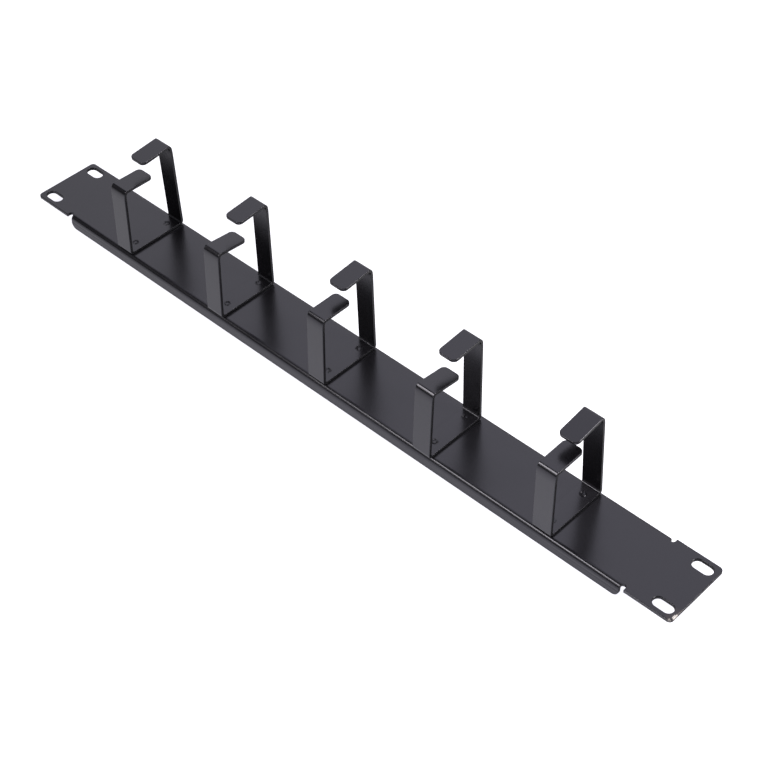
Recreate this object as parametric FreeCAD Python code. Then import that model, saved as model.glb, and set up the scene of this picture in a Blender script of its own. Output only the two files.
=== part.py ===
import FreeCAD, Part
import math
import os

# Rack cable organizer: a one-unit steel panel with folded flanges, and five bent strap rings
# spot-welded along it. Cables lie in the rings and go in past the two staggered lips.
# Sizes are in millimetres and angles in degrees. X runs along the panel, -Y is the front and +Z is up.
# The origin is on the plane that the flanges stand on, under the middle of the panel.

# Panel
panel_length = 482.6
panel_depth = 43.6
panel_sheet = 1.5
panel_bend_radius = 1.5
ear_length = 31.3
flange_height = 8.5
flange_corner_radius = 4.0
ear_corner_radius = 2.5
relief_width = 3.0
relief_past_bend = 0.3

# Mounting slots, two in each ear, on the hole spacing of a one-unit rack panel
slot_from_end = 8.75
slot_spacing_y = 31.75
slot_length = 12.0
slot_width = 6.5

# Cable rings
ring_pitch = 80.0
ring_short_of_panel = 2.1
front_arm_height = 46.2
rear_arm_height = 59.5
front_lip_length = 22.0
rear_lip_length = 22.5
lip_corner_radius = 3.0
strap_width = 12.0
strap_sheet = 1.2
strap_bend_radius = 1.5

# How each ring was bent and welded on, from left to right, which differs a little by hand.
# shift is its offset along the panel from its even place, and setback is how far its front lies
# behind the panel's front. The leans are how far the arms tilt inwards, and the droops how far
# the lips tilt down.
rings = [
    dict(shift=0.0, setback=0.8, front_lean=2.0, rear_lean=1.5, front_droop=1.5, rear_droop=5.0),
    dict(shift=0.5, setback=-0.4, front_lean=2.5, rear_lean=0.0, front_droop=5.5, rear_droop=4.0),
    dict(shift=1.5, setback=0.5, front_lean=2.0, rear_lean=1.0, front_droop=0.0, rear_droop=4.5),
    dict(shift=0.5, setback=-1.0, front_lean=3.0, rear_lean=0.5, front_droop=6.0, rear_droop=3.5),
    dict(shift=0.5, setback=0.9, front_lean=0.5, rear_lean=4.0, front_droop=-1.5, rear_droop=8.0),
]

# Spot welds, two in the foot of each ring
weld_spacing = 24.0
weld_mark_diameter = 4.2
weld_mark_depth = 0.25
weld_mark_wall_angle = 60.0

# Sizes that follow. The rings stand on the panel's top face.
panel_top = flange_height
panel_bend_outside = panel_bend_radius + panel_sheet
flange_length = panel_length - 2 * ear_length
slot_spacing_x = panel_length - 2 * slot_from_end
ring_depth = panel_depth - ring_short_of_panel


def rounded_edges(corners, radius):
    """The edges of an open line through the corners, with a tangent arc at each inner corner."""
    edges = []
    run_start = corners[0]
    for before, corner, after in zip(corners, corners[1:], corners[2:]):
        to_before = (before - corner).normalize()
        to_after = (after - corner).normalize()
        inwards = (to_before + to_after).normalize()
        half_angle = to_before.getAngle(to_after) / 2
        tangent_length = radius / math.tan(half_angle)
        centre = corner + inwards * (radius / math.sin(half_angle))
        arc_start = corner + to_before * tangent_length
        arc_end = corner + to_after * tangent_length
        edges.append(Part.makeLine(run_start, arc_start))
        edges.append(Part.Arc(arc_start, centre - inwards * radius, arc_end).toShape())
        run_start = arc_end
    edges.append(Part.makeLine(run_start, corners[-1]))
    return edges


def inside_corners(corners, thickness):
    """The outside line of a folded sheet, moved inwards by the thickness. All folds turn one way."""
    inside = []
    for before, corner, after in zip(corners, corners[1:], corners[2:]):
        to_before = (before - corner).normalize()
        to_after = (after - corner).normalize()
        inwards = (to_before + to_after).normalize()
        half_angle = to_before.getAngle(to_after) / 2
        inside.append(corner + inwards * (thickness / math.sin(half_angle)))
    return [end_inside(corners[0], corners[1], inside[0])] + inside + [
        end_inside(corners[-1], corners[-2], inside[-1])
    ]


def end_inside(end, next_corner, next_inside):
    """The inside point square across from a free end of the sheet."""
    along = (next_corner - end).normalize()
    across = next_inside - next_corner
    return end + across - along * across.dot(along)


def folded_sheet(corners, thickness, bend_radius, width):
    """A sheet folded along the outside corners, which lie in a YZ plane, and extruded along +X."""
    inside = inside_corners(corners, thickness)
    edges = rounded_edges(corners, bend_radius + thickness)
    edges += rounded_edges(inside, bend_radius)
    edges.append(Part.makeLine(corners[0], inside[0]))
    edges.append(Part.makeLine(corners[-1], inside[-1]))
    section = Part.Face(Part.Wire(Part.__sortEdges__(edges)))
    return section.extrude(FreeCAD.Vector(width, 0, 0))


def nearest_edge(solid, point):
    """The edge whose middle lies closest to a point."""
    return min(solid.Edges, key=lambda edge: edge.CenterOfMass.distanceToPoint(point))


def obround(length, width, height, centre):
    """A slot-shaped prism along X, with round ends, standing on its centre point."""
    half_run = (length - width) / 2
    body = Part.makeBox(
        2 * half_run, width, height, centre + FreeCAD.Vector(-half_run, -width / 2, 0)
    )
    for side in (-1, 1):
        end = centre + FreeCAD.Vector(side * half_run, 0, 0)
        body = body.fuse(Part.makeCylinder(width / 2, height, end))
    return body


def weld_mark(centre, direction):
    """The shallow dished mark of a welding electrode, sunk from a face along a direction."""
    mouth_radius = weld_mark_diameter / 2
    floor_radius = mouth_radius - weld_mark_depth * math.tan(math.radians(weld_mark_wall_angle))
    return Part.makeCone(mouth_radius, floor_radius, weld_mark_depth, centre, direction)


def weld_places():
    """The two weld centres of a ring, as distances from the panel's middle line."""
    return [-weld_spacing / 2, weld_spacing / 2]


def ring_places():
    """The middle of each ring along the panel, from left to right."""
    first_x = -(len(rings) - 1) / 2 * ring_pitch
    return [first_x + index * ring_pitch + ring["shift"] for index, ring in enumerate(rings)]


def relief(side_x, side_y):
    """A bend relief beside a flange's end: a notch from the long edge with a round inner end."""
    radius = relief_width / 2
    middle_x = side_x * (flange_length / 2 + radius)
    deepest_y = panel_depth / 2 - panel_bend_outside - relief_past_bend
    round_centre = FreeCAD.Vector(middle_x, side_y * (deepest_y + radius), 0)
    notch_run = panel_depth / 2 - deepest_y
    corner = round_centre + FreeCAD.Vector(-radius, min(0, side_y * notch_run), 0)
    notch = Part.makeBox(relief_width, notch_run, panel_top, corner)
    return notch.fuse(Part.makeCylinder(radius, panel_top, round_centre))


def make_panel():
    """The folded panel: a channel between two flat ears, with reliefs, slots and weld marks."""
    half_depth = panel_depth / 2
    half_channel = flange_length / 2 + relief_width / 2
    corners = [
        FreeCAD.Vector(-half_channel, -half_depth, 0),
        FreeCAD.Vector(-half_channel, -half_depth, panel_top),
        FreeCAD.Vector(-half_channel, half_depth, panel_top),
        FreeCAD.Vector(-half_channel, half_depth, 0),
    ]
    panel = folded_sheet(corners, panel_sheet, panel_bend_radius, 2 * half_channel)

    ear_underside = panel_top - panel_sheet
    flat_length = panel_length / 2 - half_channel
    for flat_x in (-panel_length / 2, half_channel):
        flat_corner = FreeCAD.Vector(flat_x, -half_depth, ear_underside)
        panel = panel.fuse(Part.makeBox(flat_length, panel_depth, panel_sheet, flat_corner))
    panel = panel.removeSplitter()

    ear_corners = []
    flange_corners = []
    for side_x in (-1, 1):
        for side_y in (-1, 1):
            panel = panel.cut(relief(side_x, side_y))
            slot_centre = FreeCAD.Vector(
                side_x * slot_spacing_x / 2, side_y * slot_spacing_y / 2, ear_underside
            )
            panel = panel.cut(obround(slot_length, slot_width, panel_sheet, slot_centre))
            ear_corners.append(
                FreeCAD.Vector(
                    side_x * panel_length / 2, side_y * half_depth, panel_top - panel_sheet / 2
                )
            )
            flange_corners.append(
                FreeCAD.Vector(
                    side_x * flange_length / 2, side_y * (half_depth - panel_sheet / 2), 0
                )
            )
    panel = panel.makeFillet(ear_corner_radius, [nearest_edge(panel, p) for p in ear_corners])
    panel = panel.makeFillet(
        flange_corner_radius, [nearest_edge(panel, p) for p in flange_corners]
    )

    for ring_x in ring_places():
        for weld_y in weld_places():
            mark_centre = FreeCAD.Vector(ring_x, weld_y, ear_underside)
            panel = panel.cut(weld_mark(mark_centre, FreeCAD.Vector(0, 0, 1)))
    return panel


def arm_and_lip(foot, inwards, height, lean, lip_length, droop):
    """The top corner of an arm that rises from its foot, and the tip of the lip that it carries."""
    lean = math.radians(lean)
    droop = math.radians(droop)
    top = foot + FreeCAD.Vector(0, inwards * math.tan(lean), 1) * height
    tip = top + FreeCAD.Vector(0, inwards * math.cos(droop), -math.sin(droop)) * lip_length
    return top, tip


def ring_corners(left_x, ring):
    """The outside corners of a ring's strap, from the front lip's tip round to the rear lip's."""
    front_y = -panel_depth / 2 + ring["setback"]
    front_foot = FreeCAD.Vector(left_x, front_y, panel_top)
    rear_foot = FreeCAD.Vector(left_x, front_y + ring_depth, panel_top)
    front_top, front_tip = arm_and_lip(
        front_foot, 1, front_arm_height, ring["front_lean"], front_lip_length, ring["front_droop"]
    )
    rear_top, rear_tip = arm_and_lip(
        rear_foot, -1, rear_arm_height, ring["rear_lean"], rear_lip_length, ring["rear_droop"]
    )
    return [front_tip, front_top, front_foot, rear_foot, rear_top, rear_tip]


def make_ring(middle_x, ring):
    """One cable ring: a strap bent from lip to lip, with a low front arm and a high rear arm."""
    left_x = middle_x - strap_width / 2
    right_x = middle_x + strap_width / 2
    corners = ring_corners(left_x, ring)
    strap = folded_sheet(corners, strap_sheet, strap_bend_radius, strap_width)

    inside = inside_corners(corners, strap_sheet)
    tip_corners = []
    for outer, inner in ((corners[0], inside[0]), (corners[-1], inside[-1])):
        middle = (outer + inner) * 0.5
        tip_corners.append(FreeCAD.Vector(left_x, middle.y, middle.z))
        tip_corners.append(FreeCAD.Vector(right_x, middle.y, middle.z))
    strap = strap.makeFillet(lip_corner_radius, [nearest_edge(strap, p) for p in tip_corners])

    for weld_y in weld_places():
        mark_centre = FreeCAD.Vector(middle_x, weld_y, panel_top + strap_sheet)
        strap = strap.cut(weld_mark(mark_centre, FreeCAD.Vector(0, 0, -1)))
    return strap


def write_node(name, shape):
    """Writes one piece as a STEP file named after its node."""
    shape.exportStep(os.path.join("parts", name + ".step"))
    print(name, "solids", len(shape.Solids), "valid", shape.isValid(), "volume", round(shape.Volume, 1))


os.makedirs("parts", exist_ok=True)
write_node("panel", make_panel())
for number, (middle_x, ring) in enumerate(zip(ring_places(), rings), start=1):
    write_node("ring_" + str(number), make_ring(middle_x, ring))
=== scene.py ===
# %% [markdown]
# # A rack cable organizer
#
# The real object is a one-unit steel panel, folded down along both long edges, with five strap
# rings spot-welded along it. Cables are laid in past the gap between each ring's two lips. All of
# it is powder-coated in satin black after welding.
#
# The measured shape comes from the CAD model, so this lesson is about what a camera sees beyond
# it: edges that are a little round, spot welds that are a little uneven, and a coat that is never
# quite flat or quite one tone.

# %% Load the measured model
import math

import bmesh
import bpy
from mathutils import Matrix, Vector, noise


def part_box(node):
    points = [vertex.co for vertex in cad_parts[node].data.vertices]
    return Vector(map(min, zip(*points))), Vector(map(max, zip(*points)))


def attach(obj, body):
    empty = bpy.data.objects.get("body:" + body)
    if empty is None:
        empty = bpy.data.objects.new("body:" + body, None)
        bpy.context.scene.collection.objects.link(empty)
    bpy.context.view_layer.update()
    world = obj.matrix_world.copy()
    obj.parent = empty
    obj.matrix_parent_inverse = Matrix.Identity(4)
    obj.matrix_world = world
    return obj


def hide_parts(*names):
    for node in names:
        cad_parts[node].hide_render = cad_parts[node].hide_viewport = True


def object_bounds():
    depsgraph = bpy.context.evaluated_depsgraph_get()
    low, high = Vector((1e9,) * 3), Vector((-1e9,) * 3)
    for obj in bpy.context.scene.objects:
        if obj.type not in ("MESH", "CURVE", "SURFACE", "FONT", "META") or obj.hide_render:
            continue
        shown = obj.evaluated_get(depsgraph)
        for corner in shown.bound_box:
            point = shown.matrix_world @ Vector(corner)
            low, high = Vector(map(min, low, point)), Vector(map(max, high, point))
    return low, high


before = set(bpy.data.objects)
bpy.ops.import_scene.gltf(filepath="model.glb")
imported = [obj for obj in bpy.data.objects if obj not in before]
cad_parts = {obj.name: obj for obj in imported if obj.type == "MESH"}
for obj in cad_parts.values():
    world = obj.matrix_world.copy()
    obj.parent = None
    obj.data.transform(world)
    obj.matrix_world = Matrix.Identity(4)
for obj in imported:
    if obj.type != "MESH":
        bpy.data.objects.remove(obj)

cad_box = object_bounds()
MM = 0.001

print("CAD nodes:", sorted(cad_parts))
print("CAD box in mm:", [[round(value / MM, 2) for value in corner] for corner in cad_box])

# %% [markdown]
# ## The camera
#
# A picture only matches a photograph when the camera stands where the photographer stood. Its
# place was worked out from the corners of the panel and of the rings. It is given as an aim point
# on the panel, two angles around it, a distance, and a small roll of the camera in the hand.

# %% Camera
AIM = Vector((30.20, 2.30, 8.5)) * MM
AZIMUTH = math.radians(44.57)
ELEVATION = math.radians(44.65)
ROLL = math.radians(-1.35)
DISTANCE = 923.8 * MM
LENS = 79.58
SENSOR_WIDTH = 36.0
NEAREST_SEEN = 0.05

camera_data = bpy.data.cameras.new("camera")
camera_data.sensor_width = SENSOR_WIDTH
camera_data.lens = LENS
camera_data.clip_start = NEAREST_SEEN
camera = bpy.data.objects.new("camera", camera_data)
bpy.context.scene.collection.objects.link(camera)
bpy.context.scene.camera = camera

turn = (
    Matrix.Rotation(AZIMUTH, 4, "Z")
    @ Matrix.Rotation(math.pi / 2 - ELEVATION, 4, "X")
    @ Matrix.Rotation(ROLL, 4, "Z")
)
backwards = turn @ Vector((0, 0, 1))
camera.matrix_world = Matrix.Translation(AIM + backwards * DISTANCE) @ turn
print("Camera stands at, in mm:", [round(value / MM, 1) for value in camera.matrix_world.translation])

# %% [markdown]
# ## The floor
#
# The object stands on a wide sweep of pale paper. A plane is enough for it, because paper has no
# thickness to speak of and the camera never sees its edge. Three small helpers then make the nodes
# of its material, so that each step of the material reads as one line.

# %% Floor
FLOOR_SIZE = 30.0

bpy.ops.object.select_all(action="DESELECT")
bpy.ops.mesh.primitive_plane_add(size=FLOOR_SIZE, location=(0, 0, 0))
floor = bpy.context.object
floor.name = "floor"

floor_material = bpy.data.materials.new("white_sweep")
floor_material.use_nodes = True
nodes, links = floor_material.node_tree.nodes, floor_material.node_tree.links
nodes.clear()


def plug(node, *values):
    """Links or sets a node's inputs in order, and gives its first output."""
    for socket, value in zip(node.inputs, values):
        if isinstance(value, bpy.types.NodeSocket):
            links.new(value, socket)
        else:
            socket.default_value = value
    return node.outputs[0]


def floor_math(operation, first, second):
    """A Math node in the floor's material."""
    node = nodes.new("ShaderNodeMath")
    node.operation = operation
    return plug(node, first, second)


def floor_range(value, start, end):
    """A smooth step between two (distance, result) pairs."""
    node = nodes.new("ShaderNodeMapRange")
    node.interpolation_type = "SMOOTHSTEP"
    return plug(node, value, start[0], end[0], start[1], end[1])


print("Floor side in m:", FLOOR_SIZE)

# %% [markdown]
# ## The light of the paper
#
# A picture for a shop has a pure white ground, and more lamp light would only bleach the object. So
# where a ray from the camera, from a gloss or through glass meets the paper, its material adds a
# little light of its own. The camera sees the paper pale all over, and the object's soft shadow
# stays. A gloss sees that light in a wide round pool, which ends in front of the object on the left
# and grows slowly towards the right. Beyond it lies the dark of the room, and that draws the dark
# bands along the bends.
#
# Every edge that faces right mirrors the paper just behind the object, and those edges are dark in
# the photograph. So behind the object's front line a gloss sees the paper with only a quarter of its
# own light. That is a painted shade on the paper, which only a gloss sees.

# %% Material of the floor
FLOOR_COLOUR = (0.36, 0.36, 0.36, 1)
LIFT_COLOUR = (0.92, 0.915, 1.0, 1)
CAMERA_LIFT = 0.95
FAR_LIFT = 0.04

# The pool's middle and its soft edge, and two pairs of a distance from the middle and the light there
POOL_MIDDLE = (1.90, 1.90, 0.0)
POOL_RADIUS = (3.12, 2.97)
POOL_LIFT_FROM = (3.00, 0.66)
POOL_LIFT_TO = (2.45, 1.12)

# The painted shade behind the object starts softly between these two places in y
BEHIND_SHADE_EDGE_Y = (-0.024, -0.019)
BEHIND_SHADE_DARKNESS = 0.75

away = nodes.new("ShaderNodeVectorMath")
away.operation = "DISTANCE"
away.inputs[1].default_value = POOL_MIDDLE
floor_place = nodes.new("ShaderNodeTexCoord").outputs["Object"]
links.new(floor_place, away.inputs[0])
distance = away.outputs["Value"]
pool = floor_range(distance, (POOL_RADIUS[0], 0.0), (POOL_RADIUS[1], 1.0))
in_pool = floor_math("MULTIPLY", pool, floor_range(distance, POOL_LIFT_FROM, POOL_LIFT_TO))
lift_strength = floor_math("MAXIMUM", in_pool, FAR_LIFT)

path = nodes.new("ShaderNodeLightPath")
camera_lift = floor_math("MULTIPLY", path.outputs["Is Camera Ray"], CAMERA_LIFT)
lift_strength = floor_math("MAXIMUM", lift_strength, camera_lift)
split = nodes.new("ShaderNodeSeparateXYZ")
links.new(floor_place, split.inputs[0])
# Painted shade: behind the object's front line a gloss sees only a quarter of the paper's light
painted_shade_behind = floor_range(split.outputs["Y"], (BEHIND_SHADE_EDGE_Y[0], 0.0), (BEHIND_SHADE_EDGE_Y[1], BEHIND_SHADE_DARKNESS))
painted_shade_behind = floor_math("MULTIPLY", painted_shade_behind, path.outputs["Is Glossy Ray"])
lift_strength = floor_math("MULTIPLY", lift_strength, floor_math("SUBTRACT", 1.0, painted_shade_behind))

lift = nodes.new("ShaderNodeEmission")
both = nodes.new("ShaderNodeAddShader")
paper = nodes.new("ShaderNodeBsdfDiffuse")
plug(both, plug(paper, FLOOR_COLOUR), plug(lift, LIFT_COLOUR, lift_strength))
seen = floor_math("MAXIMUM", path.outputs["Is Camera Ray"], path.outputs["Is Glossy Ray"])
seen = floor_math("MAXIMUM", seen, path.outputs["Is Transmission Ray"])
choose = nodes.new("ShaderNodeMixShader")
out = nodes.new("ShaderNodeOutputMaterial")
links.new(plug(choose, seen, paper.outputs[0], both.outputs[0]), out.inputs["Surface"])
floor.data.materials.append(floor_material)
print("The floor's material has", len(nodes), "nodes")

# %% [markdown]
# ## The light
#
# Black paint has almost no colour of its own. What the eye reads as its shape is the reflection
# of the lamps and of the white floor, and of the dark room between them. So the studio has a soft
# box in front, which draws a fine line along each bend of the right-hand half, a wide one above
# the back, which the flat panel mirrors, and a small one at the back right, which catches the
# rounded edges. The room itself gives a low even light. Each box has a honeycomb grid, which
# keeps its light from spilling over the far floor. In Blender that is the lamp's spread.

# %% Lamps and room
COOL = (0.97, 0.96, 1.0)
WARM = (1.0, 0.97, 0.90)


def softbox(name, towards, distance, width, height, brightness, grid, colour):
    """A lamp that faces the object. Its brightness, straight ahead, is given as a white surface's."""
    direction = Vector(towards).normalized()
    half_grid = math.radians(grid) / 2
    lamp = bpy.data.lights.new(name, "AREA")
    lamp.shape = "RECTANGLE"
    lamp.size = width
    lamp.size_y = height
    lamp.spread = 2 * half_grid
    lamp.color = colour
    lamp.energy = math.pi * width * height * brightness * (1 - half_grid / math.tan(half_grid))
    place = bpy.data.objects.new(name, lamp)
    place.location = direction * distance
    place.rotation_euler = direction.to_track_quat("Z", "Y").to_euler()
    bpy.context.scene.collection.objects.link(place)
    print(name, "gives", round(lamp.energy, 2), "W")


softbox("front_softbox", (-0.235, -0.70, 0.56), 1.2, 0.60, 0.35, 16.5, 100, WARM)
softbox("overhead_softbox", (-0.36, 0.55, 0.76), 1.3, 2.0, 2.0, 1.72, 100, COOL)
softbox("edge_softbox", (0.78, 0.31, 0.55), 1.2, 0.27, 1.00, 24.0, 100, WARM)

ROOM_BRIGHTNESS = 0.14
room = bpy.data.worlds.new("room")
room.use_nodes = True
room.node_tree.nodes["Background"].inputs["Color"].default_value = (*COOL, 1)
room.node_tree.nodes["Background"].inputs["Strength"].default_value = ROOM_BRIGHTNESS
bpy.context.scene.world = room
bpy.context.scene.view_settings.view_transform = "Standard"

# %% [markdown]
# ## Copies of the measured pieces
#
# The CAD nodes have the right shape but sharp edges, and their meshes are loose triangles. So each
# is copied, the copy's triangles are joined at their corners, and flat faces are made whole again.
#
# A face in Blender can't have a hole, so Blender would leave an edge from each slot or weld mark
# to some far corner, and such a slanting edge spoils a bevel. A cut straight across the piece
# through the middle of the slots and marks comes first and opens every hole. Its edges
# are marked as seams, and the seams are left when the faces are made whole.

# %% Copy a node
SAME_POINT = 0.005 * MM
SAME_PLANE = math.radians(1.0)
SLOT_FROM_END = 8.75 * MM


def merged_copy(node_name, name, cuts):
    """A copy of a CAD node, alone selected, with whole flat faces, cut across at some places in x."""
    bpy.ops.object.select_all(action="DESELECT")
    piece = bpy.data.objects.new(name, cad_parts[node_name].data.copy())
    bpy.context.scene.collection.objects.link(piece)
    piece.select_set(True)
    bpy.context.view_layer.objects.active = piece
    bpy.ops.object.mode_set(mode="EDIT")
    bpy.ops.mesh.select_all(action="SELECT")
    bpy.ops.mesh.remove_doubles(threshold=SAME_POINT)
    for cut_x in cuts:
        bpy.ops.mesh.select_all(action="SELECT")
        bpy.ops.mesh.bisect(plane_co=(cut_x, 0, 0), plane_no=(1, 0, 0))
        bpy.ops.mesh.mark_seam(clear=False)
    bpy.ops.mesh.select_all(action="SELECT")
    bpy.ops.mesh.dissolve_limited(angle_limit=SAME_PLANE, delimit={"SEAM"})
    bpy.ops.mesh.mark_seam(clear=True)
    bpy.ops.object.mode_set(mode="OBJECT")
    return piece


ring_numbers = range(1, 6)
ring_middles = []
for number in ring_numbers:
    low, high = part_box("ring_" + str(number))
    ring_middles.append((low[0] + high[0]) / 2)
slot_middles = [cad_box[0][0] + SLOT_FROM_END, cad_box[1][0] - SLOT_FROM_END]
panel = merged_copy("panel", "folded_panel", ring_middles + slot_middles)
rings = [
    merged_copy("ring_" + str(number), "cable_ring_" + str(number), [middle])
    for number, middle in zip(ring_numbers, ring_middles)
]
print("Ring middles in mm:", [round(middle / MM, 2) for middle in ring_middles])

# %% [markdown]
# ## Skins
#
# Work on a sheet is easier when its two big sides, its skins, can be told from the rest. A skin is
# found by the angle where faces meet: faces that meet at a shallow angle belong together, and the
# two largest of these regions are the outer and the inner skin. The rest are the cut edges.

# %% Find the skins
SHARP = math.radians(40)


def smooth_regions(mesh):
    """The mesh's faces in groups that meet at less than a sharp angle, the largest area first."""
    regions = []
    seen = set()
    for start in mesh.faces:
        if start in seen:
            continue
        seen.add(start)
        region = [start]
        for face in region:
            for edge in face.edges:
                for other in edge.link_faces:
                    if other not in seen and edge.calc_face_angle() < SHARP:
                        seen.add(other)
                        region.append(other)
        regions.append(region)
    return sorted(regions, key=lambda region: -sum(face.calc_area() for face in region))


for piece in [panel] + rings:
    mesh = bmesh.new()
    mesh.from_mesh(piece.data)
    print(piece.name, "has", len(smooth_regions(mesh)), "smooth regions, two of them its skins")
    mesh.free()

# %% [markdown]
# ## The weld marks, levelled
#
# The plain weld marks of the model lie in the inner skins and would fold over when a skin is
# moved. So each is closed with a flat face here, and is made again further on as a real crater.
#
# In edit mode an operator acts on all that is selected. So a helper first deselects everything, and
# then selects just the points, edges or faces that lie where the next step works.

# %% Level the weld marks
PANEL_SHEET = 1.5 * MM
STRAP_SHEET = 1.2 * MM
PANEL_TOP = 8.5 * MM
WELD_Y = 12.0 * MM
WELD_REACH = 2.25 * MM
WELD_DEPTH = 0.5 * MM


def select_only(piece, kind, wanted):
    """In edit mode, selects only the points, edges or faces for which wanted gives true."""
    bpy.ops.mesh.select_all(action="DESELECT")
    mesh = bmesh.from_edit_mesh(piece.data)
    kinds = {
        "POINTS": ("VERT", mesh.verts),
        "EDGES": ("EDGE", mesh.edges),
        "FACES": ("FACE", mesh.faces),
    }
    bpy.context.tool_settings.mesh_select_mode = [name == kind for name in kinds]
    mode, items = kinds[kind]
    mesh.select_mode = {mode}
    chosen = [item for item in items if wanted(item)]
    for item in chosen:
        item.select_set(True)
    mesh.select_flush_mode()
    bmesh.update_edit_mesh(piece.data)
    return len(chosen)


def start_editing(piece):
    """Makes a piece the active one and goes into edit mode."""
    bpy.context.view_layer.objects.active = piece
    bpy.ops.object.mode_set(mode="EDIT")


def weld_marks(foot_top, underside):
    """Each weld mark's piece, centre, direction, column and row, with the skins at these heights."""
    marks = []
    for column, middle in enumerate(ring_middles):
        for row, weld_y in enumerate((-WELD_Y, WELD_Y)):
            marks.append((rings[column], Vector((middle, weld_y, foot_top)), 1, column, row))
            marks.append((panel, Vector((middle, weld_y, underside)), -1, column, row))
    return marks


def near_mark(co, centre):
    """Whether a point lies in the round of a weld mark, and not far above or below it."""
    reach = math.hypot(co.x - centre.x, co.y - centre.y)
    return reach < WELD_REACH and abs(co.z - centre.z) < WELD_DEPTH


def open_mark(piece, centre):
    """Deletes the faces of a weld mark and leaves its rim selected, in edit mode."""
    select_only(piece, "FACES", lambda face: all(near_mark(point.co, centre) for point in face.verts))
    bpy.ops.mesh.delete(type="FACE")
    select_only(
        piece,
        "EDGES",
        lambda edge: edge.is_boundary and all(near_mark(point.co, centre) for point in edge.verts),
    )


for piece, centre, up, column, row in weld_marks(PANEL_TOP + STRAP_SHEET, PANEL_TOP - PANEL_SHEET):
    start_editing(piece)
    open_mark(piece, centre)
    bpy.ops.mesh.edge_face_add()
    bpy.ops.object.mode_set(mode="OBJECT")
print("Weld marks levelled:", 4 * len(rings))

# %% [markdown]
# ## Bends that ease in
#
# A sheet bent over a bar doesn't turn at one line. It starts to curve a few millimetres before the
# bend, on the long side, and is tightest beside the short lip. In black gloss that slow start is
# easy to see, as a dark band that fades down the arm of a ring or down the panel's flange.
#
# So each arm and flange gets a few cuts across it under its upper bend, and then the points from
# there to well round the bend are smoothed many times. They may move up, down, back and forth, and
# not sideways. The far side of the bend stays, which keeps the bend tight there. The inner skin
# follows on the rings. On the panel it moves so little that it is left alone.

# %% Ease the upper bends
FACES_SIDEWAYS = 0.9
ABOVE_CORNER = 1 * MM
EACH_SMOOTHING = 0.5
FRONT_CORNER = 54.7 * MM
REAR_CORNER = 68.0 * MM

# The first cut lies start under the corner, and each next one a step lower. For each skin come the
# angle round the bend up to which it is eased, in degrees, and how many times it is smoothed.
RING_EASE = {
    "start": 2.7 * MM,
    "step": 0.7 * MM,
    "cuts": 7,
    "outer": (72, 55),
    "inner": (80, 45),
    "beyond_y": 10 * MM,
    "within_x": 300 * MM,
}
PANEL_EASE = {
    "start": 3.0 * MM,
    "step": 0.6 * MM,
    "cuts": 4,
    "outer": (52, 18),
    "beyond_y": 18.85 * MM,
    "within_x": 210.01 * MM,
}


def ease_bend(piece, side, corner_z, ease):
    """Eases an upper bend at the front, side -1, or at the rear, side 1."""

    def in_reach(place):
        return place.y * side > ease["beyond_y"] and abs(place.x) < ease["within_x"]

    bend_start = corner_z - ease["start"]
    for step in range(ease["cuts"]):
        select_only(
            piece,
            "FACES",
            lambda face: in_reach(face.calc_center_median()) and abs(face.normal.y) > FACES_SIDEWAYS,
        )
        height = bend_start - step * ease["step"]
        bpy.ops.mesh.bisect(plane_co=(0, 0, height), plane_no=(0, 0, 1))
    last_cut = bend_start - (ease["cuts"] - 1) * ease["step"]
    lowest = last_cut + ease["step"] / 2

    def is_eased(point, faces_out, up_to):
        turned = math.atan2(abs(point.normal.z), abs(point.normal.y))
        near = in_reach(point.co) and lowest < point.co.z < corner_z + ABOVE_CORNER
        return near and turned < math.radians(up_to) and (point.normal.y * side > 0) == faces_out

    for skin, faces_out in (("outer", True), ("inner", False)):
        if skin not in ease:
            continue
        up_to, repeats = ease[skin]
        count = select_only(piece, "POINTS", lambda point: is_eased(point, faces_out, up_to))
        bpy.ops.mesh.vertices_smooth(factor=EACH_SMOOTHING, repeat=repeats, xaxis=False)
        print(piece.name, "has", count, "points eased on the", skin, "skin of a bend")


bends = [(panel, -1, PANEL_TOP, PANEL_EASE), (panel, 1, PANEL_TOP, PANEL_EASE)]
for ring in rings:
    bends += [(ring, -1, FRONT_CORNER, RING_EASE), (ring, 1, REAR_CORNER, RING_EASE)]
for piece, side, corner_z, ease in bends:
    start_editing(piece)
    ease_bend(piece, side, corner_z, ease)
    bpy.ops.object.mode_set(mode="OBJECT")

# %% [markdown]
# ## How thick the sheets look
#
# In the photograph the edges of the straps and of the panel look about half a millimetre thicker
# than the sheets that were measured first. So the inner skin is moved inwards, and every outside
# size stays as it is. A strap's inner skin moves along its own direction with an even offset. The
# panel's inner skin is plain enough to move part by part: the flat down, each flange inwards, and
# each bend drawn in about its own axis.

# %% Thicken the sheets inwards
PANEL_EXTRA = 0.45 * MM
STRAP_EXTRA = 0.55 * MM
INNER = 1
BEND_AXIS_Y = 18.8 * MM
BEND_AXIS_Z = 5.5 * MM
BEND_INSIDE = 1.5 * MM
ON_FLANGE = 0.01 * MM
ON_BEND = 0.02 * MM


def thicken_strap(piece):
    """Moves the inner skin of a strap away from the outer one, along its own direction."""
    mesh = bmesh.from_edit_mesh(piece.data)
    mesh.faces.index_update()
    inner_skin = {face.index for face in smooth_regions(mesh)[INNER]}
    count = select_only(piece, "FACES", lambda face: face.index in inner_skin)
    bpy.ops.transform.shrink_fatten(value=STRAP_EXTRA, use_even_offset=True)
    print(piece.name, "has", count, "faces in its inner skin, moved", round(STRAP_EXTRA / MM, 2), "mm")


def part_of_fold(place):
    """Which part of the panel's inner skin a point lies on: flat, bend or flange, and its side."""
    side = 1 if place.y > 0 else -1
    outwards, upwards = abs(place.y) - BEND_AXIS_Y, place.z - BEND_AXIS_Z
    if upwards < ON_FLANGE:
        return "flange", side
    if outwards > 0 and abs(math.hypot(outwards, upwards) - BEND_INSIDE) < ON_BEND:
        return "bend", side
    return "flat", 0


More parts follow.
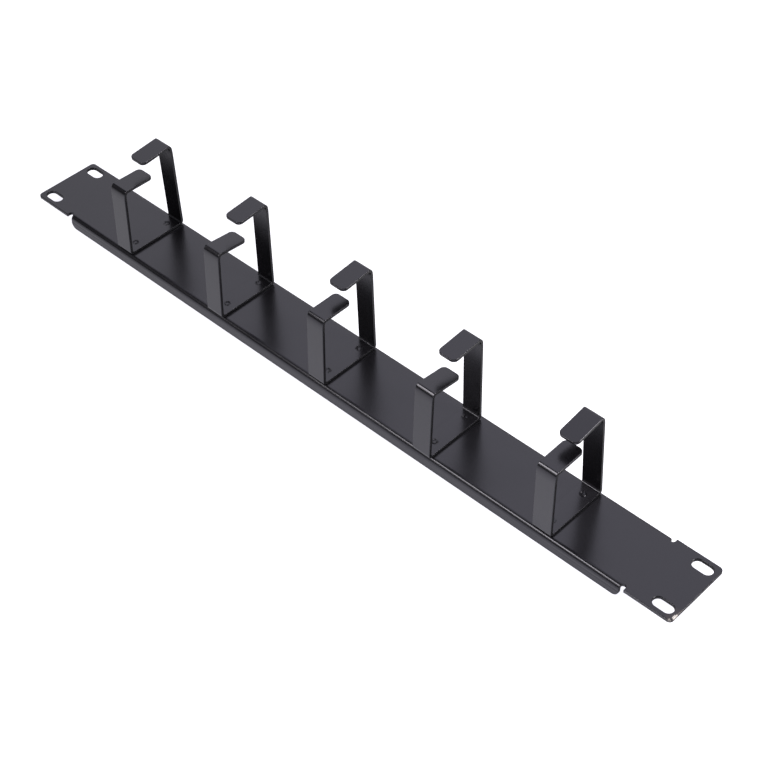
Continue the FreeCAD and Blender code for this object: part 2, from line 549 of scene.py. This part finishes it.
def thicken_panel():
    """Moves the panel's inner skin: the flat and the flanges straight, and the bends inwards."""
    mesh = bmesh.from_edit_mesh(panel.data)
    mesh.verts.index_update()
    skin_points = {point for face in smooth_regions(mesh)[INNER] for point in face.verts}
    parts = {point.index: part_of_fold(point.co) for point in skin_points}
    shrink = (BEND_INSIDE - PANEL_EXTRA) / BEND_INSIDE
    for part in sorted(set(parts.values())):
        form, side = part
        count = select_only(panel, "POINTS", lambda point: parts.get(point.index) == part)
        if form == "bend":
            axis = (0, side * BEND_AXIS_Y, BEND_AXIS_Z)
            bpy.ops.transform.resize(value=(1, shrink, shrink), center_override=axis)
        elif form == "flange":
            bpy.ops.transform.translate(value=(0, -side * PANEL_EXTRA, 0))
        else:
            bpy.ops.transform.translate(value=(0, 0, -PANEL_EXTRA))
        print("The panel's", form, "on side", side, "has", count, "points moved")


for piece in [panel] + rings:
    start_editing(piece)
    if piece == panel:
        thicken_panel()
    else:
        thicken_strap(piece)
    bpy.ops.object.mode_set(mode="OBJECT")

# %% [markdown]
# ## Sheared edges, softened by the coat
#
# A punch or a shear rolls the edge over on the side where it goes in and leaves a sharper edge on
# the other side, and powder melts over both into a small round. Without that round an edge catches
# no light and looks like paper. The border of a skin is a sheared edge, so each edge there gets a
# bevel weight: one round the outer skin, and less than half round the inner skin.

# %% Find the cut faces
SKIN, CUT = 0, 1
INNER_WEIGHT = 0.45


def mark_cut_faces(piece):
    """Gives the cut faces the second material, and each sheared edge a bevel weight."""
    mesh = bmesh.new()
    mesh.from_mesh(piece.data)
    weight = mesh.edges.layers.float.new("bevel_weight_edge")
    regions = smooth_regions(mesh)
    for region in regions[2:]:
        for face in region:
            face.material_index = CUT
    inner_skin = set(regions[INNER])
    for edge in mesh.edges:
        first, second = edge.link_faces
        if first.material_index != second.material_index:
            inside = first in inner_skin or second in inner_skin
            edge[weight] = INNER_WEIGHT if inside else 1.0
    mesh.to_mesh(piece.data)
    mesh.free()
    print(piece.name, "has 2 skins and", len(regions) - 2, "outlines of cut faces")


for piece in [panel] + rings:
    mark_cut_faces(piece)

# %% [markdown]
# A bevel modifier that follows those weights rounds the sheared edges only. In the four bend
# reliefs of the panel the sheared edge runs down over a bend in very small steps, where a full
# round would fold over itself, so the weight there is much smaller. It changes at the square
# corner of the ear, where two widths of round can meet.

# %% Round the sheared edges
EDGE_ROUND = 0.34 * MM
EDGE_STEPS = 4
RELIEF_X = (209.9 * MM, 213.1 * MM)
RELIEF_Y = (18.3 * MM, 20.3 * MM)
RELIEF_WALL_X = 212.9 * MM
RELIEF_WEIGHT = 0.12


def ease_reliefs(piece):
    """Lowers the bevel weight where a relief's edge runs over a bend."""
    points = piece.data.vertices
    weights = piece.data.attributes["bevel_weight_edge"].data
    eased = 0
    for edge, weight in zip(piece.data.edges, weights):
        middle = (points[edge.vertices[0]].co + points[edge.vertices[1]].co) / 2
        in_x = RELIEF_X[0] < abs(middle.x) < RELIEF_X[1]
        in_round = RELIEF_Y[0] < abs(middle.y) < RELIEF_Y[1]
        on_wall = RELIEF_Y[0] < abs(middle.y) and abs(middle.x) > RELIEF_WALL_X
        if in_x and (in_round or on_wall) and weight.value:
            weight.value = RELIEF_WEIGHT
            eased += 1
    print(piece.name, "has", eased, "eased edges")


def round_edges(piece):
    """Rounds the weighted edges, in the first material."""
    bpy.context.view_layer.objects.active = piece
    bevel = piece.modifiers.new("edge_round", "BEVEL")
    bevel.width = EDGE_ROUND
    bevel.segments = EDGE_STEPS
    bevel.limit_method = "WEIGHT"
    bevel.material = SKIN
    bevel.use_clamp_overlap = False
    bevel.loop_slide = False
    bpy.ops.object.modifier_apply(modifier=bevel.name)
    print(piece.name, "has", len(piece.data.vertices), "points and", len(piece.data.polygons), "faces")


ease_reliefs(panel)
for piece in [panel] + rings:
    round_edges(piece)

# %% [markdown]
# ## Spot welds
#
# Two copper electrodes pinch the strap and the panel together, and a strong current melts them
# into one between the tips. Each tip leaves a shallow crater with a ragged lip of steel pushed up
# round it, and no two are alike. Powder fills the sharpest parts.
#
# The marks were closed with flat faces before. Here each of those faces is deleted and its rim is
# extruded again and again, each time drawn in and moved up or down a little, over the lip and down
# to the floor of the crater. Then every point moves by a smooth noise that depends on its direction
# from the middle, which is the same each time the script runs.

# %% Craters of the spot welds
MARK_RIM = 2.1 * MM

# The crater from its rim to its floor: the share of the rim's radius, and the height in mm
CRATER = (
    (0.95, 0.030),
    (0.88, 0.120),
    (0.80, 0.215),
    (0.73, 0.255),
    (0.66, 0.215),
    (0.58, 0.120),
    (0.46, -0.010),
    (0.30, -0.110),
    (0.14, -0.130),
)

# How far the lumps reach sideways, and how far inside the rim they reach their full size. The noise
# is read on a circle of the given radius, so a wider circle gives more lumps or lips round a crater.
RAGGED = 0.34 * MM
RAGGED_FROM_RIM = 0.5 * MM
LUMPS_ROUND = 1.4
LIPS_ROUND = 2.1
LIP_SEED = 7.3
LIP_MEAN = 0.9
LIP_DRIFT = 2.4
LIP_LOWEST = 0.15
LIP_HIGHEST = 1.5
STILL = 0.001 * MM
NEAR_MIDDLE = 0.05 * MM


def crater(piece, centre, up, strength, seed):
    """Makes a flat mark into a crater. Up is 1 for a mark seen from above, and -1 from below."""
    open_mark(piece, centre)
    reach, height = 1.0, 0.0
    for new_reach, new_height in CRATER:
        bpy.ops.mesh.extrude_edges_move(
            TRANSFORM_OT_translate={"value": (0, 0, up * strength * (new_height - height) * MM)}
        )
        shrink = new_reach / reach
        bpy.ops.transform.resize(value=(shrink, shrink, 1), center_override=centre)
        reach, height = new_reach, new_height
    bpy.ops.mesh.merge(type="CENTER")

    mesh = bmesh.from_edit_mesh(piece.data)
    for point in mesh.verts:
        out = Vector((point.co.x - centre.x, point.co.y - centre.y, 0))
        rise = point.co.z - centre.z
        if near_mark(point.co, centre) and abs(rise) > STILL and out.length > NEAR_MIDDLE:
            way = out.normalized()
            lump = noise.noise(Vector((way.x * LUMPS_ROUND, way.y * LUMPS_ROUND, seed)))
            lip = noise.noise(Vector((way.x * LIPS_ROUND, way.y * LIPS_ROUND, seed + LIP_SEED)))
            room_out = min(1.0, max(0.0, (MARK_RIM - out.length) / RAGGED_FROM_RIM))
            point.co += way * (RAGGED * lump * room_out)
            if rise * up > 0:
                lip_share = max(LIP_LOWEST, min(LIP_HIGHEST, LIP_MEAN + LIP_DRIFT * lip))
                point.co.z = centre.z + rise * lip_share
    bmesh.update_edit_mesh(piece.data)


# How deep the front and the rear mark of each ring is
WELD_STRENGTHS = ((1.0, 1.0), (1.0, 0.6), (1.0, 1.0), (0.9, 1.0), (0.7, 1.0))
UNDERSIDE_STRENGTH = 0.8
COLUMN_SEED = 3.1
ROW_SEED = 1.7
SIDE_SEED = 10
marks = weld_marks(PANEL_TOP + STRAP_SHEET + STRAP_EXTRA, PANEL_TOP - PANEL_SHEET - PANEL_EXTRA)
for piece, centre, up, column, row in marks:
    strength = WELD_STRENGTHS[column][row] if up > 0 else UNDERSIDE_STRENGTH
    start_editing(piece)
    seed = COLUMN_SEED * column + ROW_SEED * row + SIDE_SEED * up
    crater(piece, centre, up, strength, seed)
    bpy.ops.object.mode_set(mode="OBJECT")
print("Craters made:", len(marks))

# %% [markdown]
# Last, the shading. Edges under a small angle are smooth, and weighted normals let the large flats
# keep their own direction, so that a bevel or a bend beside them doesn't bend the light on them.
# Each piece then rides on the one body that there is and stands for its CAD node.

# %% Shade the pieces and tie them to the model
SMOOTH_UNDER = math.radians(50)

for piece, node_name in zip([panel] + rings, ["panel"] + ["ring_" + str(n) for n in ring_numbers]):
    bpy.ops.object.select_all(action="DESELECT")
    piece.select_set(True)
    start_editing(piece)
    bpy.ops.mesh.select_all(action="SELECT")
    bpy.ops.mesh.normals_make_consistent(inside=False)
    bpy.ops.object.mode_set(mode="OBJECT")
    bpy.ops.object.shade_smooth_by_angle(angle=SMOOTH_UNDER)
    weighted = piece.modifiers.new("flat_faces_stay_flat", "WEIGHTED_NORMAL")
    weighted.keep_sharp = True
    bpy.ops.object.modifier_apply(modifier=weighted.name)
    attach(piece, "root")
    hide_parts(node_name)
    print(piece.name, "stands for", node_name, "with", len(piece.data.polygons), "faces")

# %% [markdown]
# ## Satin black powder coat
#
# Powder is sprayed on dry and baked until it flows. It keeps a faint skin like an orange's, about
# a millimetre and a half from hump to hump, and a much finer grain where the grains didn't quite
# melt together. Both are relief and not colour, so one node group makes them as a height.

# %% Node group: relief of the coat
def new_group(name, inputs, outputs):
    """An empty shader node group with named sockets, and its input and output nodes."""
    tree = bpy.data.node_groups.new(name, "ShaderNodeTree")
    for kind, socket_name in inputs:
        tree.interface.new_socket(socket_name, in_out="INPUT", socket_type=kind)
    for kind, socket_name in outputs:
        tree.interface.new_socket(socket_name, in_out="OUTPUT", socket_type=kind)
    return tree, tree.nodes.new("NodeGroupInput"), tree.nodes.new("NodeGroupOutput")


def math_node(tree, operation, first, second):
    """A Math node whose two inputs are sockets or numbers."""
    node = tree.nodes.new("ShaderNodeMath")
    node.operation = operation
    for socket, value in zip(node.inputs, (first, second)):
        if isinstance(value, (int, float)):
            socket.default_value = value
        else:
            tree.links.new(value, socket)
    return node.outputs[0]


def noise_node(tree, position, scale, detail):
    """A Noise Texture read at a position, with one feature for each 1/scale metres."""
    node = tree.nodes.new("ShaderNodeTexNoise")
    node.inputs["Scale"].default_value = scale
    node.inputs["Detail"].default_value = detail
    tree.links.new(position, node.inputs["Vector"])
    return node.outputs["Fac"]


relief, relief_in, relief_out = new_group(
    "coat_relief",
    [("NodeSocketVector", "Position"), ("NodeSocketFloat", "Skin"), ("NodeSocketFloat", "Grain")],
    [("NodeSocketFloat", "Height")],
)
SKIN_SCALE = 650.0
GRAIN_SCALE = 3200.0
skin = noise_node(relief, relief_in.outputs["Position"], SKIN_SCALE, 1.0)
grain = noise_node(relief, relief_in.outputs["Position"], GRAIN_SCALE, 2.0)
height = math_node(
    relief,
    "ADD",
    math_node(relief, "MULTIPLY", skin, relief_in.outputs["Skin"]),
    math_node(relief, "MULTIPLY", grain, relief_in.outputs["Grain"]),
)
relief.links.new(height, relief_out.inputs["Height"])
print(relief.name, "has", len(relief.nodes), "nodes")

# %% [markdown]
# The tone of a coat drifts too. Where the powder lay thicker the gloss is a little higher, and
# fine dust caught in the oven leaves paler specks. A second group gives the colour and the
# roughness from a slow drift and a fine speckle.

# %% Node group: tone of the coat
tone, tone_in, tone_out = new_group(
    "coat_tone",
    [
        ("NodeSocketVector", "Position"),
        ("NodeSocketColor", "Dark"),
        ("NodeSocketColor", "Light"),
        ("NodeSocketFloat", "Gloss Low"),
        ("NodeSocketFloat", "Gloss High"),
    ],
    [("NodeSocketColor", "Colour"), ("NodeSocketFloat", "Roughness")],
)
DRIFT_SCALE = 28.0
SPECKLE_SCALE = 1500.0
TONE_RANGE = (0.12, 0.38)
GLOSS_RANGE = (0.3, 0.7)
drift = noise_node(tone, tone_in.outputs["Position"], DRIFT_SCALE, 2.0)
speckle = noise_node(tone, tone_in.outputs["Position"], SPECKLE_SCALE, 2.0)
blend = math_node(tone, "MULTIPLY", drift, speckle)
spread = tone.nodes.new("ShaderNodeMapRange")
spread.inputs["From Min"].default_value, spread.inputs["From Max"].default_value = TONE_RANGE
tone.links.new(blend, spread.inputs["Value"])
MIX_A, MIX_B, MIX_RESULT = 6, 7, 2
colour = tone.nodes.new("ShaderNodeMix")
colour.data_type = "RGBA"
tone.links.new(spread.outputs["Result"], colour.inputs["Factor"])
tone.links.new(tone_in.outputs["Dark"], colour.inputs[MIX_A])
tone.links.new(tone_in.outputs["Light"], colour.inputs[MIX_B])
tone.links.new(colour.outputs[MIX_RESULT], tone_out.inputs["Colour"])
gloss = tone.nodes.new("ShaderNodeMapRange")
gloss.inputs["From Min"].default_value, gloss.inputs["From Max"].default_value = GLOSS_RANGE
tone.links.new(drift, gloss.inputs["Value"])
tone.links.new(tone_in.outputs["Gloss Low"], gloss.inputs["To Min"])
tone.links.new(tone_in.outputs["Gloss High"], gloss.inputs["To Max"])
tone.links.new(gloss.outputs["Result"], tone_out.inputs["Roughness"])
print(tone.name, "has", len(tone.nodes), "nodes")

# %% [markdown]
# ## The chipped corner
#
# The right end of the panel has been knocked. At its front corner the coat is chipped off the top
# edge, so that pale steel shows, a paler rub runs back along the edge, and the coat round the chip
# is a little brown. A third group gives one such patch as a mask: the distance from its middle,
# measured in its own reach along each axis, with a fine noise that makes its outline ragged. The
# materials place it several times, each with its own middle and reach.

# %% Node group: a worn patch
patch, patch_in, patch_out = new_group(
    "worn_patch",
    [
        ("NodeSocketVector", "Position"),
        ("NodeSocketVector", "Middle"),
        ("NodeSocketVector", "Reach"),
        ("NodeSocketFloat", "Ragged"),
    ],
    [("NodeSocketFloat", "Mask")],
)


def vector_node(tree, operation, *values):
    """A Vector Math node whose inputs are sockets."""
    node = tree.nodes.new("ShaderNodeVectorMath")
    node.operation = operation
    for socket, value in zip(node.inputs, values):
        tree.links.new(value, socket)
    return node


from_middle = vector_node(patch, "SUBTRACT", patch_in.outputs["Position"], patch_in.outputs["Middle"])
in_reaches = vector_node(patch, "DIVIDE", from_middle.outputs[0], patch_in.outputs["Reach"])
far = vector_node(patch, "LENGTH", in_reaches.outputs[0]).outputs["Value"]
CRUMB_SCALE = 1900.0
NOISE_MEAN = 0.5
PATCH_EDGE = (1.15, 0.80)
crumbs = noise_node(patch, patch_in.outputs["Position"], CRUMB_SCALE, 3.0)
crumbs = math_node(patch, "SUBTRACT", crumbs, NOISE_MEAN)
crumbs = math_node(patch, "MULTIPLY", crumbs, patch_in.outputs["Ragged"])
edge = patch.nodes.new("ShaderNodeMapRange")
edge.interpolation_type = "SMOOTHSTEP"
edge.inputs["From Min"].default_value, edge.inputs["From Max"].default_value = PATCH_EDGE
patch.links.new(math_node(patch, "ADD", far, crumbs), edge.inputs["Value"])
patch.links.new(edge.outputs["Result"], patch_out.inputs["Mask"])
print(patch.name, "has", len(patch.nodes), "nodes")

# %% [markdown]
# The chipped end takes four such patches: the browned coat round the chip, the rub along the edge,
# the chip itself, and a small nick at the very corner. A later patch lies over an earlier one, as
# the steel lies bare inside the brown.

# %% Place the worn patches
STEEL = (0.56, 0.53, 0.52, 1)
RUBBED = (0.060, 0.050, 0.048, 1)
BROWNED = (0.016, 0.011, 0.010, 1)

# Middle and reach in mm, raggedness, amount, colour, and whether bare steel shows
CHIPS = (
    ((239.8, -17.5, 8.5), (3.4, 4.6, 1.2), 0.9, 0.85, BROWNED, False),
    ((241.2, -15.6, 8.2), (0.75, 3.6, 0.9), 1.6, 0.75, RUBBED, False),
    ((241.1, -18.0, 8.2), (1.05, 1.75, 0.9), 1.9, 1.0, STEEL, True),
    ((239.9, -21.2, 8.0), (0.95, 0.75, 0.7), 1.8, 0.5, STEEL, True),
)


def use_group(tree, group, place, settings):
    """A node that uses one of the groups at a place, with its other sockets set."""
    node = tree.nodes.new("ShaderNodeGroup")
    node.node_tree = group
    tree.links.new(place, node.inputs["Position"])
    for socket_name, value in settings.items():
        node.inputs[socket_name].default_value = value
    return node


def add_patches(tree, place, colour, patches):
    """Lays worn patches over a colour. Gives the new colour, and where bare steel shows."""
    bare = None
    for middle, reach, ragged, amount, worn_colour, is_bare in patches:
        settings = {
            "Middle": [value * MM for value in middle],
            "Reach": [value * MM for value in reach],
            "Ragged": ragged,
        }
        worn = use_group(tree, patch, place, settings)
        mask = math_node(tree, "MULTIPLY", worn.outputs["Mask"], amount)
        mix = tree.nodes.new("ShaderNodeMix")
        mix.data_type = "RGBA"
        tree.links.new(mask, mix.inputs["Factor"])
        tree.links.new(colour, mix.inputs[MIX_A])
        mix.inputs[MIX_B].default_value = worn_colour
        colour = mix.outputs[MIX_RESULT]
        if is_bare:
            bare = mask if bare is None else math_node(tree, "MAXIMUM", bare, mask)
    return colour, bare


print("Worn patches on the corner:", len(CHIPS))

# %% [markdown]
# ## One coat, three materials
#
# The organizer is coated in one go, but its coat doesn't look the same all over. In the photograph
# the rings are a shade darker and glossier than the panel. The cut edges are duller, because molten
# powder draws back from a sharp edge and leaves a thin, rough coat there.
#
# So one function makes three materials. The tone group gives the colour and the roughness, the worn
# patches are laid over them, and the relief goes through a bump. The colours are near black with a
# little blue, and so is the tint of the sheen.

# %% Material of the panel and of the rings
COAT_SHEEN = (0.86, 0.85, 1.0, 1)
SKIN_SHARE = 1.0
GRAIN_SHARE = 0.35
BUMP_STRENGTH = 0.06
BUMP_DISTANCE = 0.05 * MM
BARE_ROUGHER = 0.25
BARE_METALLIC = 0.35


def powder_coat(name, dark, light, gloss_low, gloss_high, patches=()):
    """Satin black powder coat, with its relief and tone from the groups, and worn patches."""
    material = bpy.data.materials.new(name)
    material.use_nodes = True
    tree = material.node_tree
    shader = tree.nodes["Principled BSDF"]
    shader.inputs["Specular Tint"].default_value = COAT_SHEEN
    place = tree.nodes.new("ShaderNodeTexCoord").outputs["Object"]

    settings = {"Dark": dark, "Light": light, "Gloss Low": gloss_low, "Gloss High": gloss_high}
    tone_node = use_group(tree, tone, place, settings)
    colour, bare = add_patches(tree, place, tone_node.outputs["Colour"], patches)
    roughness = tone_node.outputs["Roughness"]
    if bare is not None:
        roughness = math_node(tree, "ADD", roughness, math_node(tree, "MULTIPLY", bare, BARE_ROUGHER))
        tree.links.new(math_node(tree, "MULTIPLY", bare, BARE_METALLIC), shader.inputs["Metallic"])
    tree.links.new(colour, shader.inputs["Base Color"])
    tree.links.new(roughness, shader.inputs["Roughness"])

    relief_node = use_group(tree, relief, place, {"Skin": SKIN_SHARE, "Grain": GRAIN_SHARE})
    bump = tree.nodes.new("ShaderNodeBump")
    bump.inputs["Strength"].default_value = BUMP_STRENGTH
    bump.inputs["Distance"].default_value = BUMP_DISTANCE
    tree.links.new(relief_node.outputs["Height"], bump.inputs["Height"])
    tree.links.new(bump.outputs["Normal"], shader.inputs["Normal"])
    return material


panel_coat = powder_coat(
    "panel_coat", (0.0024, 0.0022, 0.0030, 1), (0.0044, 0.0042, 0.0054, 1), 0.22, 0.27, CHIPS
)
ring_coat = powder_coat(
    "ring_coat", (0.0022, 0.0020, 0.0028, 1), (0.0040, 0.0038, 0.0050, 1), 0.21, 0.26
)
cut_coat = powder_coat(
    "cut_edge_coat", (0.0025, 0.0025, 0.0030, 1), (0.0045, 0.0045, 0.0050, 1), 0.35, 0.45, CHIPS
)
print("Materials:", panel_coat.name, ring_coat.name, cut_coat.name)

# %% [markdown]
# ## Dressing the pieces
#
# Each piece has two material slots, the first for its skins and the second for its cut faces, and
# every face already knows which of the two it takes.

# %% Dress the pieces
def dress(piece, material):
    """Gives a piece its coat and that of its cut faces."""
    while len(piece.data.materials) < 2:
        piece.data.materials.append(None)
    piece.data.materials[SKIN] = material
    piece.data.materials[CUT] = cut_coat


dress(panel, panel_coat)
for ring in rings:
    dress(ring, ring_coat)
print("Pieces dressed:", 1 + len(rings))
